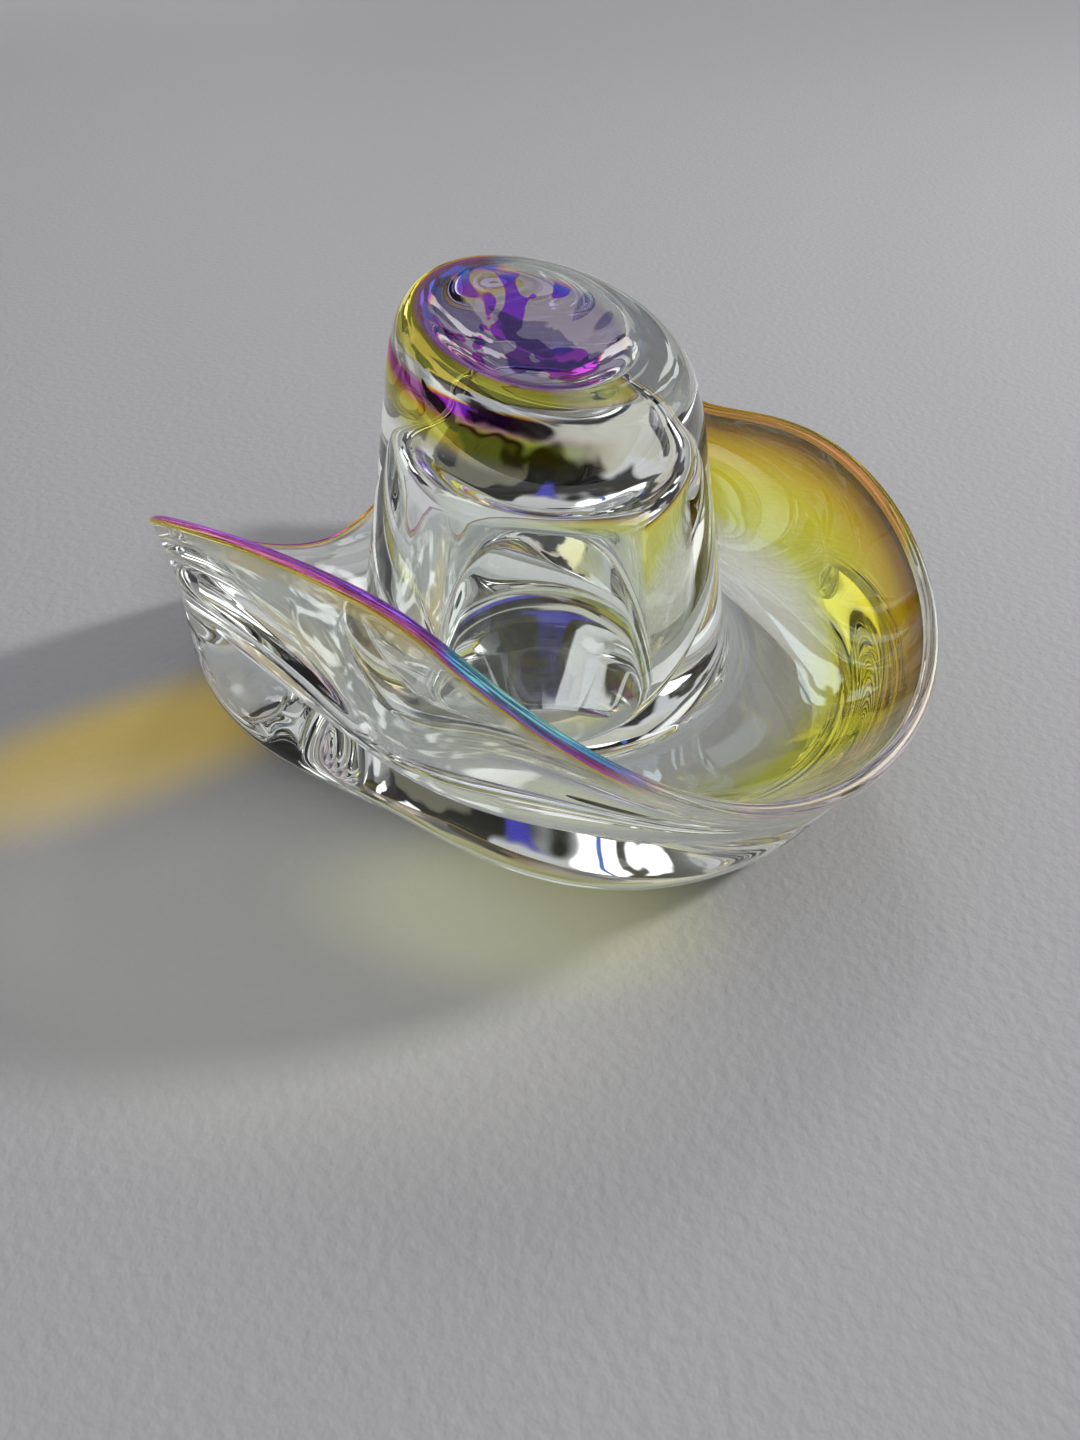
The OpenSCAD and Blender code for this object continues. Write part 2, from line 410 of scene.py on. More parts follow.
@dataclass(frozen=True)
class TablePaintAndPaintedLight:
    """Satin paint rolled on a table: a fine orange-peel relief with a soft sheen, with painted pools of
    light and shade and a painted glow near the hat.
    """

    name: str = "rolled_satin_paint_with_painted_light"
    colour: str = "#B6B6B8"
    grain_mm: float = 1.6
    grain_detail: float = 2.0
    relief_mm: float = 0.2
    roughness: float = 0.5
    sheen: float = 0.12
    far_m: tuple[float, float] = (0.45, 1.4)
    far_light: float = 0.7
    # Painted light: the table glows where the glass shows it, most in painted bright streaks near the hat
    painted_glow_through_glass: float = 0.5
    painted_streak_gain: float = 1.3
    streak_mm: float = 14.0
    streak_detail: float = 1.5
    streak_twist: float = 2.0
    streak_edge: tuple[float, float] = (0.5, 0.64)
    streak_reach_mm: tuple[float, float] = (28.0, 46.0)
    streak_middle_mm: tuple[float, float, float] = (-31.0, 18.0, 0.0)
    # Painted pools of light and shade on the table
    painted_pools: tuple[PaintedLightPool, ...] = (AMBER_PAINTED_POOL, LIME_PAINTED_POOL, CLEAR_PAINTED_POOL)

    def painted_gathered_light(self, tree: NodeTree, place: NodeSocket) -> NodeSocket:
        """Strength of the painted glow of the table as the glass shows it, with painted bright streaks near
        the hat where it would gather light.

        Args:
            tree: Node tree of the paint.
            place: Output socket with places on the table.

        Returns:
            Output socket with the strength.
        """
        flow = add_node(tree, "TexNoise", inputs={
            "Vector": place,
            "Scale": 1 / (self.streak_mm * MM),
            "Detail": self.streak_detail,
            "Distortion": self.streak_twist,
        })
        low, high = self.streak_edge
        streak = add_node(tree, "MapRange", EASED, {
            "Value": flow.outputs["Fac"], "From Min": low, "From Max": high, "To Max": self.painted_streak_gain
        })
        middle = [side * MM for side in self.streak_middle_mm]
        away = add_node(tree, "VectorMath", {"operation": "DISTANCE"}, {0: place, 1: middle})
        near, far = (reach * MM for reach in self.streak_reach_mm)
        under = add_node(tree, "MapRange", EASED, {
            "Value": away.outputs["Value"], "From Min": far, "From Max": near
        })
        strength = add_node(tree, "Math", TIMES_PLUS, {
            0: streak.outputs["Result"], 1: under.outputs["Result"], 2: self.painted_glow_through_glass
        })
        return strength.outputs["Value"]

    def far_glow(self, tree: NodeTree, place: NodeSocket, path: Node) -> NodeSocket:
        """Strength of the light that turns the far table into the pale backdrop.

        Args:
            tree: Node tree of the paint.
            place: Output socket with places on the table.
            path: Node that tells the kinds of rays apart.

        Returns:
            Output socket with the strength.
        """
        away = add_node(tree, "VectorMath", LENGTH, {0: place})
        near, far = self.far_m
        share = add_node(tree, "MapRange", EASED, {
            "Value": away.outputs["Value"], "From Min": near, "From Max": far, "To Max": self.far_light
        })
        mirrored = add_node(tree, "Math", LARGER, {
            0: path.outputs["Is Glossy Ray"], 1: path.outputs["Is Transmission Ray"]
        })
        seen = add_node(tree, "Math", LARGER, {
            0: path.outputs["Is Camera Ray"], 1: mirrored.outputs["Value"]
        })
        strength = add_node(tree, "Math", TIMES, {0: share.outputs["Result"], 1: seen.outputs["Value"]})
        return strength.outputs["Value"]

    def material(self) -> Material:
        """Make the material of the table top.

        Returns:
            The material.
        """
        # Rolled satin paint gives the eye a soft grey, pebbled by small shadows, with a dull sheen, and
        # painted pools, streaks and glow stand in for the light that the glass throws on it
        material, tree = new_material(self.name)
        place = add_node(tree, "TexCoord").outputs["Object"]
        peel = add_node(tree, "TexNoise", inputs={
            "Vector": place, "Scale": 1 / (self.grain_mm * MM), "Detail": self.grain_detail
        })
        relief = add_node(tree, "Bump", inputs={
            "Strength": 1.0, "Distance": self.relief_mm * MM, "Height": peel.outputs["Fac"]
        })
        path = add_node(tree, "LightPath")
        # Glow of the table: painted light where the glass shows it, and far off a glow that blends it into
        # the backdrop
        through = add_node(tree, "Math", TIMES_PLUS, {
            0: path.outputs["Is Transmission Ray"],
            1: self.painted_gathered_light(tree, place),
            2: self.far_glow(tree, place, path),
        })
        coat: Any = linear(self.colour)
        glow = add_node(tree, "VectorMath", {"operation": "SCALE"}, {
            0: coat[:3], "Scale": through.outputs["Value"]
        })
        shine = glow.outputs["Vector"]
        # Painted pools of light and shade tint the table's colour and add a painted glow
        for pool in self.painted_pools:
            share = pool.share(tree, place)
            tinted = add_node(tree, "Mix", COLOURS, {SHARE: share, FIRST: coat, SECOND: linear(pool.shade)})
            lit = add_node(tree, "VectorMath", TIMES_PLUS, {0: linear(pool.glow)[:3], 1: share, 2: shine})
            coat, shine = tinted.outputs[MIXED], lit.outputs["Vector"]
        paint = add_node(tree, "BsdfPrincipled", inputs={
            "Base Color": coat,
            "Roughness": self.roughness,
            "Specular IOR Level": self.sheen,
            "Emission Color": shine,
            "Emission Strength": 1.0,
            "Normal": relief.outputs["Normal"],
        })
        add_node(tree, "OutputMaterial", inputs={"Surface": paint.outputs["BSDF"]})
        return material


class Face(Enum):
    """Named stretches of the hat's outline, from the middle of the dish to the middle of the base."""

    DISH = "dish"
    SHOULDER = "shoulder"
    WALL = "wall"
    FLARE = "flare"
    TROUGH = "trough"
    EDGE_TOP = "edge_top"
    EDGE_UNDER = "edge_under"
    OUTSIDE = "outside"
    BASE = "base"


# Rows of points down each stretch, close enough for the glass to bend light smoothly
FACE_ROWS = {
    Face.DISH: 28,
    Face.SHOULDER: 28,
    Face.WALL: 16,
    Face.FLARE: 10,
    Face.TROUGH: 40,
    Face.EDGE_TOP: 7,
    Face.EDGE_UNDER: 7,
    Face.OUTSIDE: 44,
}
HOLLOW_ROWS = 12


@dataclass
class Brim:
    """Rolled brim with its flat base, in millimetres round the crown's axis."""

    reach: CosineCurve = CosineCurve((58.5, 55.0, 42.5, 35.5, 47.5, 58.5, 53.5))
    rise: CosineCurve = CosineCurve((21.0, 27.5, 38.0, 37.0, 38.0, 20.5, 4.5))
    base: CosineCurve = CosineCurve((47.0, 41.5, 36.5, 47.5, 44.0))
    foot_angle: float = math.radians(38)
    edge: float = 2.4
    deck: float = 10.0
    lean_low: float = math.radians(8)
    lean_high: float = math.radians(84)
    lean_bend: float = 0.8
    foot_pull: float = 0.42
    rim_pull: float = 0.5
    deck_pull: float = 0.35
    trough_pull: float = 0.4
    arris_steps: tuple[float, ...] = (0.0, 0.25, 0.5)
    base_shares: tuple[float, ...] = (0.8, 0.6, 0.4, 0.2)

    def lean(self) -> np.ndarray:
        """Slope of the glass sheet at the rim, steeper where the rim is higher.

        Returns:
            One slope in radians for each angle.
        """
        low, high = min(self.rise.stations), max(self.rise.stations)
        share = np.clip((self.rise.values() - low) / (high - low), 0, 1)
        return self.lean_low + (self.lean_high - self.lean_low) * share ** self.lean_bend

    def along(self) -> np.ndarray:
        """Direction of the glass sheet at the rim for each angle."""
        lean = self.lean()
        return np.stack([np.cos(lean), np.sin(lean)], axis=1)

    def edge_points(self, turn: float) -> np.ndarray:
        """Points of the rounded rim edge.

        Args:
            turn: Angle round the edge, 0 at its tip and a right angle at its upper face.

        Returns:
            Radius and height for each angle.
        """
        along = self.along()
        across = np.stack([-along[:, 1], along[:, 0]], axis=1)
        rim = np.stack([self.reach.values(), self.rise.values()], axis=1)
        return rim + (along * (math.cos(turn) - 1) + across * math.sin(turn)) * self.edge / 2

    def trough_rows(self, foot: float) -> np.ndarray:
        """Rows of the upper face, from the crown's foot out to the rim.

        Args:
            foot: Radius of the crown's foot.

        Returns:
            Radius and height by row and angle.
        """
        rim = self.edge_points(math.pi / 2)
        deck = np.tile([foot, self.deck], (COLUMNS, 1))
        span = np.linalg.norm(rim - deck, axis=1, keepdims=True)
        corners = [
            deck,
            deck + span * self.deck_pull * np.array([1, 0]),
            rim - span * self.trough_pull * self.along(),
            rim,
        ]
        return bezier(corners, steps(FACE_ROWS[Face.TROUGH]))

    def outside_rows(self) -> np.ndarray:
        """Rows of the outer face, from the rim down to just above the base.

        Returns:
            Radius and height by row and angle.
        """
        rim = self.edge_points(-math.pi / 2)
        foot = np.stack([self.base.values(), np.zeros(COLUMNS)], axis=1)
        span = np.linalg.norm(rim - foot, axis=1, keepdims=True)
        rising = np.array([math.cos(self.foot_angle), math.sin(self.foot_angle)])
        corners = [
            rim,
            rim - span * self.rim_pull * self.along(),
            foot + span * self.foot_pull * rising,
            foot,
        ]
        return bezier(corners, steps(FACE_ROWS[Face.OUTSIDE])[:-1])

    def base_rows(self) -> np.ndarray:
        """Rows of the flat base, closely set at its outer arris and then in towards its middle.

        Returns:
            Radius and height by row and angle.
        """
        foot = self.base.values()
        radii = [foot - step for step in self.arris_steps] + [foot * share for share in self.base_shares]
        flat = np.stack(radii)
        return np.stack([flat, np.zeros_like(flat)], axis=2)


@dataclass
class Crown:
    """Thick-walled crown with a tilted dish and a closed hollow, in millimetres round its own axis."""

    foot: float = 31.5
    flare: float = 4.0
    wall: float = 27.9
    shoulder: float = 21.9
    shoulder_height: float = 46.0
    lip: float = 14.6
    lip_height: float = 59.2
    tilt: float = math.radians(14)
    set_back: float = 2.3
    dish: float = 6.0
    crest: float = 2.2
    bowl: float = 0.6
    shoulder_pull: float = 0.6
    lip_pull: float = 0.3
    hollow: float = 17.0
    roof: float = 13.0
    floor_height: float = 14.0
    roof_height: float = 41.5
    floor_tilt: float = math.radians(30)
    floor_turn: float = math.radians(46.5)
    roof_tilt: float = math.radians(8)
    fillet: float = 3.0
    fillet_pull: float = 0.6
    ripple: float = 0.3
    ripple_waves: int = 3
    ripple_start: float = 1.0

    def outline(self, face: Face, deck: float) -> np.ndarray:
        """Outline of one stretch of the crown, which starts where the one before it ends.

        Args:
            face: The stretch: the dish, the shoulder, the wall or the flare.
            deck: Height of the brim's deck.

        Returns:
            Radius and height of each row.
        """
        lip = np.array([self.lip, self.lip_height])
        top = np.array([self.shoulder, self.shoulder_height])
        low = np.array([self.wall, deck + self.flare])
        shares = steps(FACE_ROWS[face])
        if face is Face.WALL:
            return top + shares[:, None] * (low - top)
        bottom = self.lip_height - self.dish
        span = np.linalg.norm(lip - top)
        slope = unit(top - low)
        corners = {
            Face.DISH: [(0, bottom), (self.lip * self.bowl, bottom), lip - (self.crest, 0), lip],
            Face.SHOULDER: [
                lip,
                lip + (span * self.lip_pull, 0),
                top + slope * span * self.shoulder_pull,
                top,
            ],
            Face.FLARE: [
                low,
                low - slope * self.flare / 2,
                ((self.foot + self.wall) / 2, deck),
                (self.foot, deck),
            ],
        }
        return bezier([np.array([corner]) for corner in corners[face]], shares)[:, 0]

    def hollow_corner(self, slope: np.ndarray, radius: float, height: float) -> np.ndarray:
        """Points where a sloping plane through the axis meets the hollow's wall.

        Args:
            slope: Rise of the plane for each angle.
            radius: Radius of the wall at the plane's middle.
            height: Height of the plane's middle.

        Returns:
            Radius and height for each angle.
        """
        lean = (self.hollow - self.roof) / (self.roof_height - self.floor_height)
        rise = slope * radius / (1 + slope * lean)
        return np.stack([radius - lean * rise, height + rise], axis=1)

    def hollow_rows(self) -> np.ndarray:
        """Rows of the closed hollow, from near the middle of its floor up to near the middle of its roof.

        Returns:
            Radius and height by row and angle.
        """
        uphill = OUTWARD @ (math.sin(self.floor_turn), math.cos(self.floor_turn), 0)
        low = self.hollow_corner(math.tan(self.floor_tilt) * uphill, self.hollow, self.floor_height)
        high = self.hollow_corner(math.tan(self.roof_tilt) * OUTWARD[:, 1], self.roof, self.roof_height)
        floor = np.tile([0.0, self.floor_height], (COLUMNS, 1))
        roof = np.tile([0.0, self.roof_height], (COLUMNS, 1))
        waves = np.sin(self.ripple_waves * ANGLES + self.ripple_start)[:, None]
        rounding = self.fillet * (1 + self.ripple * waves)
        corners = [floor, low, high, roof]
        stops = [floor]
        for before, corner, after in zip(corners, corners[1:], corners[2:]):
            stops.append(corner + rounding * unit(before - corner))
            stops.append(corner + rounding * unit(after - corner))
        stops.append(roof)
        rows = []
        for number, (start, end) in enumerate(zip(stops, stops[1:])):
            bend = corners[number // 2 + 1] if number % 2 else (start + end) / 2
            handles = [start + (bend - start) * self.fillet_pull, end + (bend - end) * self.fillet_pull]
            rows.append(bezier([start, *handles, end], steps(HOLLOW_ROWS)))
        return np.concatenate(rows)[:-1]


@dataclass(frozen=True)
class BrimCoat:
    """Where the film lies on the brim, in millimetres, and how thick it is on the edge, in nanometres."""

    bare_side: tuple[float, float, float] = (-0.688, 0.725, 0.0)
    bare_from: float = 0.5
    bare_fade: float = 0.9
    middle_fade: float = 10.0
    front_from: float = -40.0
    front_fade: float = 8.0
    front_cover: float = 0.4
    rows_below: int = 2
    left_peaks: tuple[tuple[float, float], ...] = (
        (-58, 130), (-54, 138), (-48, 60), (-44, 138), (-38, 150),
        (-33, 172), (-23, 172), (-18, 128), (50, 126),
    )
    right_peaks: tuple[tuple[float, float], ...] = ((-58, 130), (-50, 60), (-40, 104), (50, 106))
    thinning: tuple[tuple[float, float], ...] = ((0, 1), (0.45, 0.98), (0.75, 0.8), (1, 0.3))

    def cover(self) -> np.ndarray:
        """Share of film on the upper face for each angle."""
        return smooth((self.bare_from - OUTWARD @ self.bare_side) / self.bare_fade)

    def edge_cover(self, along: np.ndarray) -> np.ndarray:
        """Share of film on the rounded edge, by places along the hat."""
        return 1 - (1 - self.front_cover) * smooth((self.front_from - along) / self.front_fade)

    def edge_thickness(self, across: np.ndarray, along: np.ndarray) -> np.ndarray:
        """Thickness of the film on the rounded edge, which thins from its upper rows to its lower ones.

        Args:
            across: Places across the hat by row and angle.
            along: Places along the hat by row and angle.

        Returns:
            Thickness by row and angle.
        """
        left, right = (np.interp(along, *zip(*peaks)) for peaks in (self.left_peaks, self.right_peaks))
        peak = left + (right - left) * smooth((across + self.middle_fade / 2) / self.middle_fade)
        share = np.linspace(0, 1, len(along))[:, None]
        return peak * np.interp(share, *zip(*self.thinning))


@dataclass(frozen=True)
class CrownCoat:
    """Where the film lies on the crown, by millimetres from the lip, which are below zero in the dish."""

    coated_side: tuple[float, float, float] = (-0.871, 0.482, 0.0)
    side_lean: tuple[tuple[float, float], ...] = ((4.6, 0.3), (5.6, -0.05), (7.2, -0.05), (8.8, 0.25))
    side_fade: float = 0.5
    end: float = 13.5
    end_fade: float = 3.0
    dish_from: float = -1.0
    dish_fade: float = 2.0
    glint_side: tuple[float, float, float] = (0.688, -0.725, 0.0)
    glint_from: float = 0.5
    glint_fade: float = 0.35
    glint_start: float = -2.0
    glint_rise: float = 2.0
    glint_end: float = 7.0
    glint_fall: float = 3.0
    glint_depth: float = 0.4
    glint_nm: float = 140.0

    def dish(self, place: np.ndarray) -> np.ndarray:
        """Share of the dish's film, with its blots of painted reflection, at places from the lip."""
        return smooth((self.dish_from - place) / self.dish_fade)

    def cover(self, place: np.ndarray) -> np.ndarray:
        """Share of film on the dish and down the coated side, with a ragged border.

        Args:
            place: Places from the lip by row and angle.

        Returns:
            Share by row and angle.
        """
        lean = np.interp(place, *zip(*self.side_lean))
        side = smooth((OUTWARD @ self.coated_side + lean) / self.side_fade)
        return np.maximum(self.dish(place), side * smooth((self.end - place) / self.end_fade))

    def glint(self, place: np.ndarray) -> np.ndarray:
        """Share of the faint bluish film on the lip's other side.

        Args:
            place: Places from the lip by row and angle.

        Returns:
            Share by row and angle.
        """
        side = smooth((OUTWARD @ self.glint_side - self.glint_from) / self.glint_fade)
        rise = smooth((place - self.glint_start) / self.glint_rise)
        return self.glint_depth * side * rise * smooth((self.glint_end - place) / self.glint_fall)


@dataclass
class GlassHat:
    """The hat's body of glass and the colour film on its upper faces."""

    brim: Brim
    crown: Crown
    brim_coat: BrimCoat = BrimCoat()
    crown_coat: CrownCoat = CrownCoat()
    film_gap: float = 0.02
    sharp_angle: float = math.radians(35)

    def __post_init__(self) -> None:
        """Work out every row of the body once."""
        self.rows: dict[Face, slice] = {}
        self.points = self.body_points()
        self.normals = self.body_normals()

    def turned(self, outline: np.ndarray, low: float, high: float) -> np.ndarray:
        """Rings of the crown from its outline.

        Args:
            outline: Radius and height of each row.
            low: Share of the dish's tilt on the first row.
            high: Share of the dish's tilt on the last row.

        Returns:
            Points as an array of rows by angles by three.
        """
        share = np.linspace(low, high, len(outline))[:, None]
        radius = outline[:, :1]
        x, y = radius * OUTWARD[:, 0], radius * OUTWARD[:, 1]
        z = outline[:, 1:] + math.tan(self.crown.tilt) * share * y
        return np.stack([x, y + self.crown.set_back * share ** 2, z], axis=2)

    def swept(self, outlines: np.ndarray) -> np.ndarray:
        """Rings of the brim or the hollow from an outline at each angle.

        Args:
            outlines: Radius and height by row and angle.

        Returns:
            Points as an array of rows by angles by three.
        """
        radius, height = outlines[:, :, 0], outlines[:, :, 1]
        return np.stack([radius * OUTWARD[:, 0], radius * OUTWARD[:, 1], height], axis=2)

    def body_points(self) -> np.ndarray:
        """Rings of the whole body in millimetres, with the rows of each face noted.

        Returns:
            Points as an array of rows by angles by three.
        """
        brim, crown = self.brim, self.crown
        quarter = math.pi / 2
        top = np.linspace(quarter, 0, FACE_ROWS[Face.EDGE_TOP] + 1)[1:]
        under = np.linspace(0, -quarter, FACE_ROWS[Face.EDGE_UNDER] + 1)[1:]
        stretches = {
            Face.DISH: self.turned(crown.outline(Face.DISH, brim.deck), 1, 1),
            Face.SHOULDER: self.turned(crown.outline(Face.SHOULDER, brim.deck), 1, 0),
            Face.WALL: self.turned(crown.outline(Face.WALL, brim.deck), 0, 0),
            Face.FLARE: self.turned(crown.outline(Face.FLARE, brim.deck), 0, 0),
            Face.TROUGH: self.swept(brim.trough_rows(crown.foot)),
            Face.EDGE_TOP: self.swept(np.stack([brim.edge_points(turn) for turn in top])),
            Face.EDGE_UNDER: self.swept(np.stack([brim.edge_points(turn) for turn in under])),
            Face.OUTSIDE: self.swept(brim.outside_rows()),
            Face.BASE: self.swept(brim.base_rows()),
        }
        first = 0
        for face, rings in stretches.items():
            self.rows[face] = slice(first, first + len(rings))
            first += len(rings)
        return np.concatenate(list(stretches.values()))

    def body_normals(self) -> np.ndarray:
        """Outward unit normals of the body's rings.

        Returns:
            Normals as an array of rows by angles by three.
        """
        down = np.gradient(self.points, axis=0)
        turn = np.roll(self.points, -1, axis=1) - np.roll(self.points, 1, axis=1)
        return unit(np.cross(down, turn))

    def shell(self, rings: np.ndarray, poles: dict[int, np.ndarray]) -> Skin:
        """Points and faces of one skin through rings.

        Args:
            rings: Points in millimetres as an array of rows by angles by three.
            poles: Middle points that close the first row, under 0, or the last, under -1.

        Returns:
            The points, and the faces as numbers of points.
        """
        rows, columns = rings.shape[:2]
        faces = []
        for row in range(rows - 1):
            for column in range(columns):
                after = (column + 1) % columns
                near, far = row * columns, (row + 1) * columns
                faces.append((near + column, far + column, far + after, near + after))
        for number, end in enumerate(poles):
            ring = (end % rows) * columns
            for column in range(columns):
                after = (column + 1) % columns
                pair = (ring + column, ring + after) if end == 0 else (ring + after, ring + column)
                faces.append((rows * columns + number, *pair))
        return np.concatenate([rings.reshape(-1, 3), *(middle[None] for middle in poles.values())]), faces

    def mesh(self, name: str, shells: list[Skin]) -> Object:
        """Make one smooth piece from its skins.

        Args:
            name: Name of the piece.
            shells: Points and faces of each skin.

        Returns:
            The new piece, placed in the part's frame.
        """
        low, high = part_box("crown")
        axis = np.array([0, (low[1] + high[1]) / 2, 0])
        points: list[tuple[float, ...]] = []
        faces: list[tuple[int, ...]] = []
        for skin, sides in shells:
            first = len(points)
            points += [tuple(p) for p in skin * MM + axis]
            faces += [tuple(first + corner for corner in side) for side in sides]
        shape = bpy.data.meshes.new(name)
        shape.from_pydata(points, [], faces)
        shape.shade_smooth()
        piece = bpy.data.objects.new(name, shape)
        bpy.context.scene.collection.objects.link(piece)
        return piece

    def dish_middle(self) -> np.ndarray:
        """Middle of the dish in millimetres."""
        return np.array([0, self.crown.set_back, self.crown.lip_height - self.crown.dish])

    def build_body(self, finish: Crystal) -> Object:
        """Build and dress the body of clear glass.

        Args:
            finish: The glass.

        Returns:
            The piece, which stands for the crown and the brim.
        """
        floor, roof = np.zeros(3), np.zeros(3)
        floor[2], roof[2] = self.crown.floor_height, self.crown.roof_height
        outside = self.shell(self.points, {0: self.dish_middle(), -1: np.zeros(3)})
        inside = self.shell(self.swept(self.crown.hollow_rows()), {0: floor, -1: roof})
        piece = self.mesh("hat_glass", [outside, inside])
        piece.data.set_sharp_from_angle(angle=self.sharp_angle)
        piece.data.materials.append(finish.material())
        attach(piece, "root")
        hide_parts("brim", "crown")
        return piece

    def build_film(
        self,
        name: str,
        rows: slice,
        finish: ColourFilm,
        grids: dict[FilmValue, np.ndarray],
        poles: dict[int, np.ndarray],
    ) -> Object:
        """Build one film piece with its bands, its cover and its blots at each point.

        Args:
            name: Name of the piece.
            rows: Rows of the body that it covers.
            finish: The film.
            grids: What the film's points hold, by row and angle.
            poles: Middle points that close the first row or the last.

        Returns:
            The new piece.
        """
        rings = self.points[rows] + self.normals[rows] * self.film_gap
        piece = self.mesh(name, [self.shell(rings, poles)])
        for value, grid in grids.items():
            level = np.broadcast_to(grid, rings.shape[:2])
            values = np.full(len(piece.data.vertices), level[0].mean())
            values[:level.size] = level.reshape(-1)
            piece.data.attributes.new(value.value, "FLOAT", "POINT").data.foreach_set("value", values)
        piece.data.materials.append(finish.material())
        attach(piece, "root")
        return piece

    def build_brim_film(self, finish: ColourFilm) -> Object:
        """Build and dress the film on the brim's upper face.

        Args:
            finish: The film.

        Returns:
            The piece, which stands for the brim's film.
        """
        rows = self.rows[Face.TROUGH]
        share = np.linspace(0, 1, rows.stop - rows.start)[:, None]
        cover = self.brim_coat.cover()
        grids = {
            FilmValue.PLACE: finish.shares(share),
            FilmValue.COVER: cover,
            FilmValue.DEPTH: cover,
            FilmValue.BLOT: np.zeros(1),
            FilmValue.THICKNESS: finish.thickness(share),
        }
        piece = self.build_film("brim_film_skin", rows, finish, grids, {})
        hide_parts("brim_film")
        return piece

    def build_rim_film(self, finish: ColourFilm) -> Object:
        """Build and dress the film on the brim's rounded edge.

        Args:
            finish: The film.

        Returns:
            The piece, which stands for the brim's film.
        """
        last = self.rows[Face.EDGE_UNDER].stop + self.brim_coat.rows_below
        rows = slice(self.rows[Face.TROUGH].stop - 1, last)
        across, along = self.points[rows][:, :, 0], self.points[rows][:, :, 1]
        thickness = self.brim_coat.edge_thickness(across, along)
        cover = self.brim_coat.edge_cover(along)
        grids = {
            FilmValue.PLACE: finish.shares(thickness),
            FilmValue.COVER: cover,
            FilmValue.DEPTH: cover,
            FilmValue.BLOT: np.zeros(1),
            FilmValue.THICKNESS: finish.thickness(thickness),
        }
        piece = self.build_film("rim_film_skin", rows, finish, grids, {})
        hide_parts("brim_film")
        return piece

    def build_crown_film(self, finish: ColourFilm) -> Object:
        """Build and dress the film on the dish, the lip and the shoulder.

        Args:
            finish: The film.

        Returns:
            The piece, which stands for the crown's film.
        """
        rows = slice(self.rows[Face.DISH].start, self.rows[Face.SHOULDER].stop)
        gaps = np.linalg.norm(np.diff(self.points[rows], axis=0), axis=2)
        along = np.concatenate([np.zeros((1, COLUMNS)), np.cumsum(gaps, axis=0)])
        place = along - along[self.rows[Face.DISH].stop - 1]
        cover = self.crown_coat.cover(place)
        glint = self.crown_coat.glint(place)
        grids = {
            FilmValue.PLACE: finish.shares(place),
            FilmValue.COVER: cover,
            FilmValue.DEPTH: np.maximum(cover, glint),
            FilmValue.BLOT: self.crown_coat.dish(place),
            FilmValue.THICKNESS: finish.thickness(place) * (1 - glint) + self.crown_coat.glint_nm * glint,
        }
        middle = self.dish_middle() + np.array([0, 0, self.film_gap])
        piece = self.build_film("crown_film_skin", rows, finish, grids, {0: middle})
        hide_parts("crown_film")
        return piece


@dataclass(frozen=True)
class RoomPatch:
    """Part of the room that only the glass sees, between two azimuths and two elevations in degrees."""

    azimuths: tuple[float, float]
    elevations: tuple[float, float]
    colour: str
    strength: float = 1.0
    soft: float = 2.0


@dataclass(frozen=True)
class Window:
    """Soft rectangular light in watts, at a place right, away and up from the hat in metres."""

    name: str
    at: tuple[float, float, float]
    size: tuple[float, float]
    power: float
    colour: str


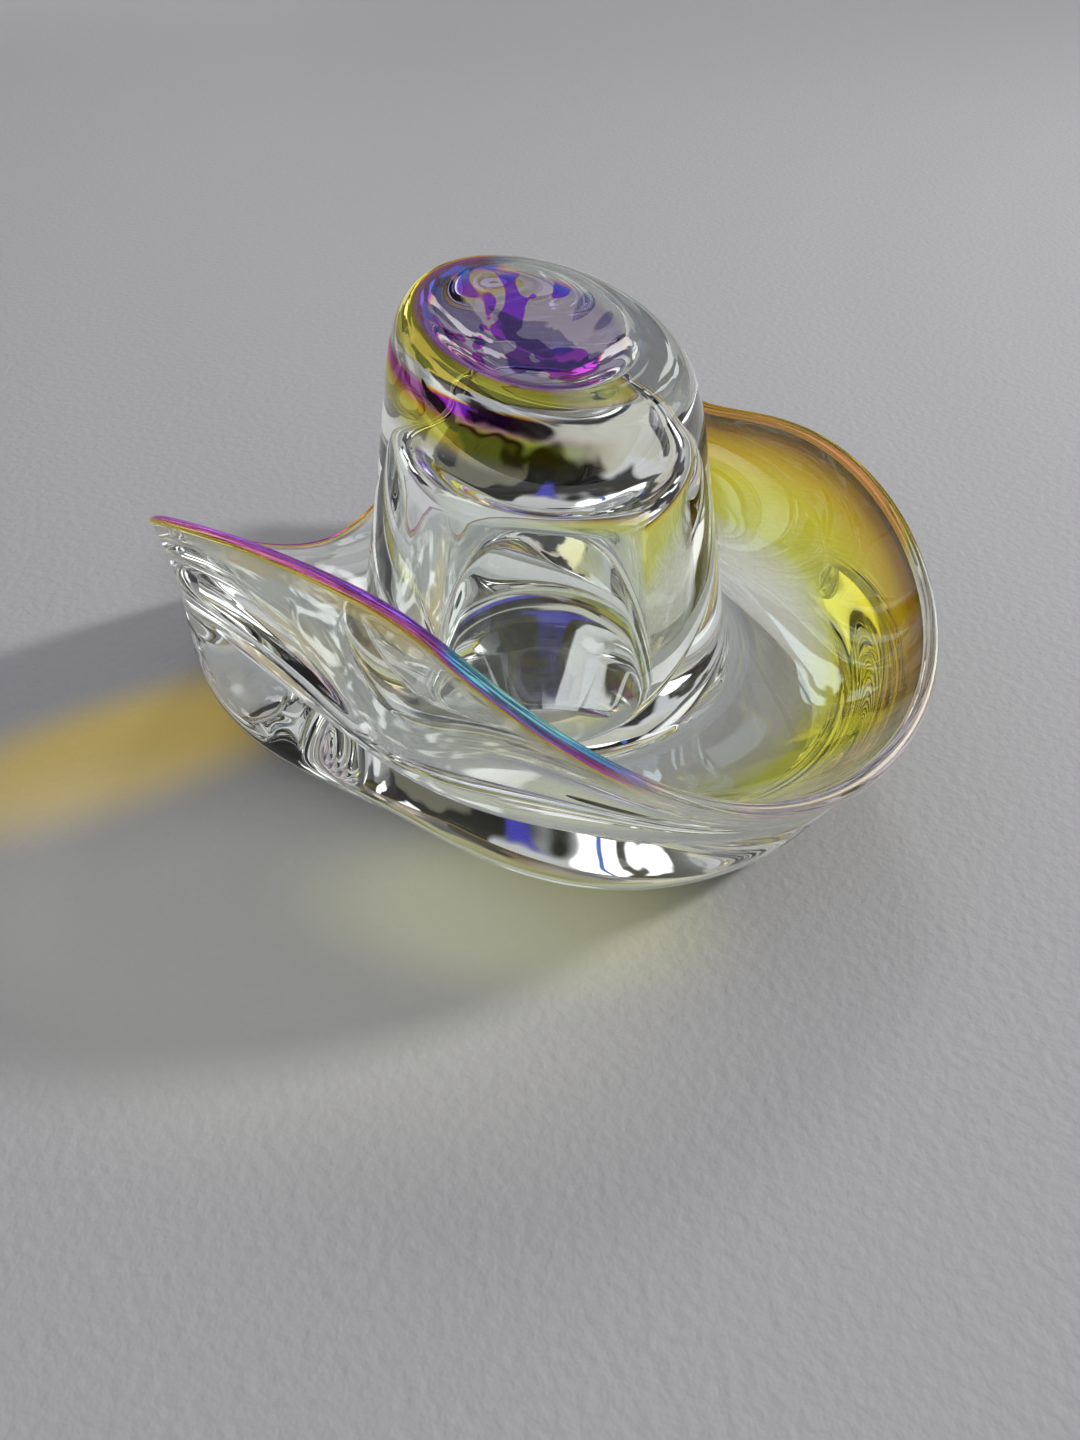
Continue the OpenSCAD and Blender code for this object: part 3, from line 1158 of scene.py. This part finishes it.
@dataclass
class Studio:
    """Table, soft light and camera, with places given as right, away and up from the hat."""

    heading: float = math.radians(46.5)
    floor_size: float = 16.0
    floor_drop: float = 0.00006
    camera_place: tuple[float, float, float] = (-0.0993, -0.0912, 0.114)
    camera_pitch: float = math.radians(41.9)
    lens_mm: float = 27.1
    sensor_mm: float = 36.0
    clip_m: tuple[float, float] = (0.005, 20.0)
    glass_bounces: int = 32
    gloss_bounces: int = 16
    lamp_spread: float = math.radians(110)
    lamp_aim: tuple[float, float, float] = (0.0, 0.0, 0.02)
    backdrop: str = "#C9C9CC"
    ambient: str = "#A6A6A9"
    sky_high: str = "#DCDCE2"
    sky_low: str = "#8E8C88"
    sky_rise: tuple[float, float] = (0.1, 0.9)
    ragged: float = math.radians(3)
    ragged_scale: float = 7.0
    ragged_detail: float = 1.0
    ragged_range: tuple[float, float] = (0.3, 0.7)
    windows: tuple[Window, ...] = (
        Window("window_right", (0.9, 0.25, 0.5), (0.13, 0.13), 2.8, "#FFFDFA"),
        Window("window_far", (0.12, 0.8, 0.65), (0.2, 0.2), 0.5, "#FFFFFF"),
    )
    patches: tuple[RoomPatch, ...] = (
        RoomPatch((128, 182), (-10, 62), "#2A2A2A", soft=10),
        RoomPatch((-182, -128), (-10, 62), "#2A2A2A", soft=10),
        RoomPatch((-62, 11), (50, 60), "#C4C2BA"),
        RoomPatch((-12, 42), (44, 50), "#080808", soft=3.5),
        RoomPatch((-30, 42), (39, 45), "#080808", soft=3.5),
        RoomPatch((12, 44), (42, 48), "#6A685C"),
        RoomPatch((3, 75), (56, 82), "#0C0908", soft=4),
        RoomPatch((-28, 8), (62, 80), "#100E20", soft=4),
        RoomPatch((-14, 4), (64, 74), "#3A36B0", 0.8, 5.0),
        RoomPatch((-112, -86), (47, 75), "#0C0A06"),
        RoomPatch((-80, -57), (40, 58), "#0E0C08"),
        RoomPatch((36, 52), (2, 22), "#12100C"),
        RoomPatch((8, 62), (24, 41), "#0A0A0A"),
        RoomPatch((36, 41), (24, 38), "#FFFFFF", 1.5, 1.0),
        RoomPatch((26, 28), (24, 38), "#FFFFFF", 1.2, 1.0),
        RoomPatch((-1, 2), (38, 40), "#4A46C8", 0.7, 2.5),
        RoomPatch((-50, -37), (27, 41), "#12100A"),
        RoomPatch((-50, -5), (18, 27), "#12100A"),
        RoomPatch((-36, -8), (27, 35), "#FFFFFF", 2.2),
        RoomPatch((-16, -15), (22, 37), "#4C70C0", 1.0, 1.0),
        RoomPatch((-24, -23), (22, 37), "#3A3430", 1.0, 1.0),
        RoomPatch((-30, -10), (0, 18), "#FFFFFF", 1.0),
        RoomPatch((64, 88), (14, 38), "#FFFFFF", 2.4),
        RoomPatch((-126, -98), (26, 44), "#FFFFFF", 1.1, 8.0),
        RoomPatch((-128, -90), (8, 20), "#0C0A08"),
    )

    def camera_heading(self) -> float:
        """Direction in which the camera looks over the table, in radians from +X."""
        return math.pi / 2 - self.heading

    def place(self, right: float, away: float, up: float) -> Vector:
        """Point in the part's frame from a place in the camera's directions.

        Args:
            right: Metres to the camera's right.
            away: Metres away from the camera.
            up: Metres above the table.

        Returns:
            The point in metres.
        """
        ahead = Vector((math.cos(self.camera_heading()), math.sin(self.camera_heading()), 0))
        side = Vector((ahead.y, -ahead.x, 0))
        return side * right + ahead * away + Vector((0, 0, up))

    def build_floor(self, finish: TablePaintAndPaintedLight) -> None:
        """Lay the table top under the hat.

        Args:
            finish: The table's paint.
        """
        half = self.floor_size / 2
        corners = [(-half, -half, 0), (half, -half, 0), (half, half, 0), (-half, half, 0)]
        shape = bpy.data.meshes.new("table_top")
        shape.from_pydata(corners, [], [(0, 1, 2, 3)])
        floor = bpy.data.objects.new("table_top", shape)
        floor.location.z = -self.floor_drop
        floor.data.materials.append(finish.material())
        bpy.context.scene.collection.objects.link(floor)

    def build_light(self, window: Window) -> None:
        """Hang one soft rectangular light that faces the hat.

        Args:
            window: The light's place, size, power and colour.
        """
        lamp = bpy.data.lights.new(window.name, "AREA")
        lamp.shape = "RECTANGLE"
        lamp.size, lamp.size_y = window.size
        lamp.energy = window.power
        lamp.spread = self.lamp_spread
        lamp.color = linear(window.colour)[:3]
        light = bpy.data.objects.new(window.name, lamp)
        light.location = self.place(*window.at)
        aim = Vector(self.lamp_aim) - light.location
        light.rotation_euler = aim.to_track_quat("-Z", "Y").to_euler()
        light.visible_camera = False
        light.visible_glossy = False
        light.visible_transmission = False
        bpy.context.scene.collection.objects.link(light)

    def build_band(
        self, tree: NodeTree, angle: NodeSocket, limits: tuple[float, float], soft: float
    ) -> NodeSocket:
        """Share that is 1 where an angle lies between two limits and 0 beyond them.

        Args:
            tree: Node tree of the world.
            angle: Output socket with the angle in radians.
            limits: Lower and upper limit in degrees.
            soft: Width in degrees over which the share falls to 0.

        Returns:
            Output socket with the share.
        """
        low, high = (math.radians(limit) for limit in limits)
        half = (high - low) / 2
        offset = add_node(tree, "Math", MINUS, {0: angle, 1: (low + high) / 2})
        distance = add_node(tree, "Math", {"operation": "ABSOLUTE"}, {0: offset.outputs["Value"]})
        share = add_node(tree, "MapRange", EASED, {
            "Value": distance.outputs["Value"], "From Min": half + math.radians(soft), "From Max": half
        })
        return share.outputs["Result"]

    def build_room(self, tree: NodeTree) -> NodeSocket:
        """Paint the room that the glass sees: a soft sky with dark and bright patches.

        Args:
            tree: Node tree of the world.

        Returns:
            Output socket with the room's colour.
        """
        place = add_node(tree, "TexCoord").outputs["Generated"]
        height = add_node(tree, "SeparateXYZ", inputs={"Vector": place}).outputs["Z"]
        low, high = self.sky_rise
        risen = add_node(tree, "MapRange", inputs={"Value": height, "From Min": low, "From Max": high})
        sky = add_node(tree, "Mix", COLOURS, {
            SHARE: risen.outputs["Result"], FIRST: linear(self.sky_low), SECOND: linear(self.sky_high)
        })
        ahead = add_node(tree, "VectorRotate", {"rotation_type": "Z_AXIS"}, {
            "Vector": place, "Angle": math.pi / 2 - self.camera_heading()
        })
        flat = add_node(tree, "SeparateXYZ", inputs={"Vector": ahead.outputs["Vector"]}).outputs
        turn = add_node(tree, "Math", {"operation": "ARCTAN2"}, {0: flat["X"], 1: flat["Y"]})
        climb = add_node(tree, "Math", {"operation": "ARCSINE"}, {0: height})
        noise = add_node(tree, "TexNoise", inputs={
            "Vector": place, "Scale": self.ragged_scale, "Detail": self.ragged_detail
        })
        low, high = self.ragged_range
        shift = add_node(tree, "MapRange", inputs={
            "Value": noise.outputs["Fac"],
            "From Min": low,
            "From Max": high,
            "To Min": -self.ragged,
            "To Max": self.ragged,
        }).outputs["Result"]
        turned, climbed = (
            add_node(tree, "Math", PLUS, {0: angle.outputs["Value"], 1: shift}).outputs["Value"]
            for angle in (turn, climb)
        )
        room = sky.outputs[MIXED]
        for patch in self.patches:
            across = self.build_band(tree, turned, patch.azimuths, patch.soft)
            upward = self.build_band(tree, climbed, patch.elevations, patch.soft)
            inside = add_node(tree, "Math", TIMES, {0: across, 1: upward})
            glow = tuple(channel * patch.strength for channel in linear(patch.colour))
            mixed = add_node(tree, "Mix", COLOURS, {
                SHARE: inside.outputs["Value"], FIRST: room, SECOND: glow
            })
            room = mixed.outputs[MIXED]
        return room

    def build_world(self) -> None:
        """Surround the hat with a plain pale backdrop, an even light and the room that the glass sees."""
        world = bpy.data.worlds.new("pale_room")
        bpy.context.scene.world = world
        world.use_nodes = True
        tree = world.node_tree
        tree.nodes.clear()
        path = add_node(tree, "LightPath")
        through = add_node(tree, "Math", LARGER, {
            0: path.outputs["Is Glossy Ray"], 1: path.outputs["Is Transmission Ray"]
        })
        lit = add_node(tree, "Mix", COLOURS, {
            SHARE: through.outputs["Value"], FIRST: linear(self.ambient), SECOND: self.build_room(tree)
        })
        seen = add_node(tree, "Mix", COLOURS, {
            SHARE: path.outputs["Is Camera Ray"], FIRST: lit.outputs[MIXED], SECOND: linear(self.backdrop)
        })
        glow = add_node(tree, "Background", inputs={"Color": seen.outputs[MIXED]})
        add_node(tree, "OutputWorld", inputs={"Surface": glow.outputs["Background"]})

    def build_camera(self) -> None:
        """Set the camera at the photograph's viewing angle."""
        lens = bpy.data.cameras.new("camera")
        lens.sensor_width = self.sensor_mm
        lens.lens = self.lens_mm
        lens.clip_start, lens.clip_end = self.clip_m
        camera = bpy.data.objects.new("camera", lens)
        camera.location = self.camera_place
        aim = self.place(0, math.cos(self.camera_pitch), -math.sin(self.camera_pitch))
        camera.rotation_euler = aim.to_track_quat("-Z", "Y").to_euler()
        bpy.context.scene.collection.objects.link(camera)
        bpy.context.scene.camera = camera

    def set_light_paths(self) -> None:
        """Let light pass through all the faces of the thick glass."""
        cycles = bpy.context.scene.cycles
        cycles.max_bounces = self.glass_bounces
        cycles.transmission_bounces = self.glass_bounces
        cycles.glossy_bounces = self.gloss_bounces
        cycles.transparent_max_bounces = self.glass_bounces
        bpy.context.scene.view_settings.view_transform = "Standard"

    def build(self) -> None:
        """Build the whole studio."""
        self.build_floor(TablePaintAndPaintedLight())
        for window in self.windows:
            self.build_light(window)
        self.build_world()
        self.build_camera()
        self.set_light_paths()


def main() -> None:
    """Build the hat and its studio, piece by piece."""
    logging.basicConfig(level=logging.INFO, format="%(name)s: %(message)s")
    hat = GlassHat(Brim(), Crown())
    pieces = [
        hat.build_body(Crystal()),
        hat.build_brim_film(GOLD_FILM),
        hat.build_rim_film(RIM_FILM),
        hat.build_crown_film(VIOLET_FILM),
    ]
    for piece in pieces:
        LOG.info("%s: %d faces", piece.name, len(piece.data.polygons))
    Studio().build()


if __name__ == "__main__":
    main()
